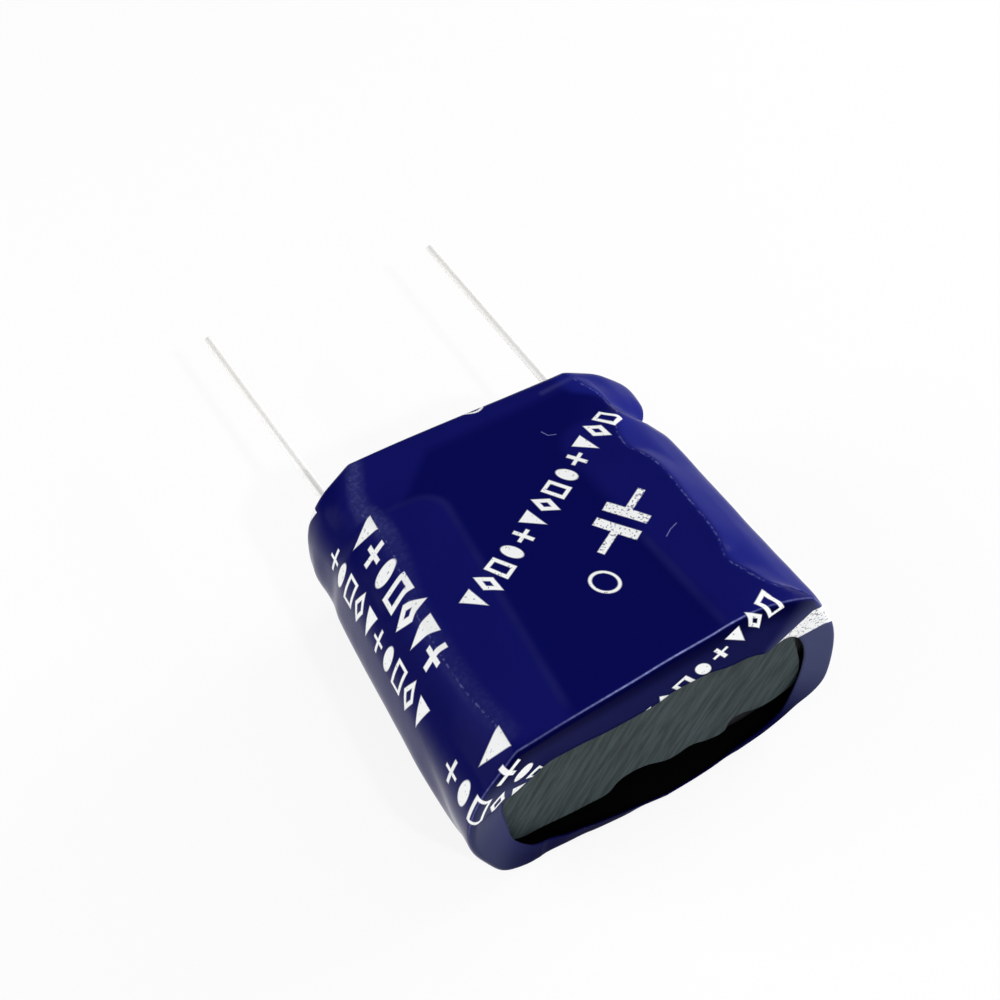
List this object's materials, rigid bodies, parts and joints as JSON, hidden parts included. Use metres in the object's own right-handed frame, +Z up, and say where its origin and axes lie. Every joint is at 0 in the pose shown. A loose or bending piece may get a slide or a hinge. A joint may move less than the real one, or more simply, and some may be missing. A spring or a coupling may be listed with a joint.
{
  "type": "supercapacitor",
  "caption": "Flat supercapacitor of round cells side by side in a dark blue shrink sleeve, with long tinned wire leads at one end, for storing charge on a circuit board.",
  "frame": {"origin": "middle of the flat underside it lies on, half way along the cans", "axes": "+X across the cells from the positive to the negative side, +Y along the cells out of the lead end, +Z up from the surface it lies on"},
  "size_m": [0.0216, 0.044, 0.0106],
  "materials": {
    "sleeve_film": "glossy dark blue shrink film with white print",
    "fibre_board": "matt grey-green vulcanised fibre with a fine grain",
    "can_aluminium": "drawn, satin",
    "bung_rubber": "matt black",
    "cell_film": "black shrink film",
    "tinned_wire": "bright tin plate",
    "solder": "dull solder"
  },
  "bodies": {
    "root": {"outer_sleeve": "sleeve_film", "end_board": "fibre_board", "lead_board": "fibre_board", "can_left": "can_aluminium", "can_right": "can_aluminium", "bung_left": "bung_rubber", "bung_right": "bung_rubber", "cell_film_left": "cell_film", "cell_film_right": "cell_film", "positive_lead": "tinned_wire", "negative_lead": "tinned_wire", "link_lead_left": "tinned_wire", "link_lead_right": "tinned_wire", "link_solder": "solder"}
  },
  "joints": []
}
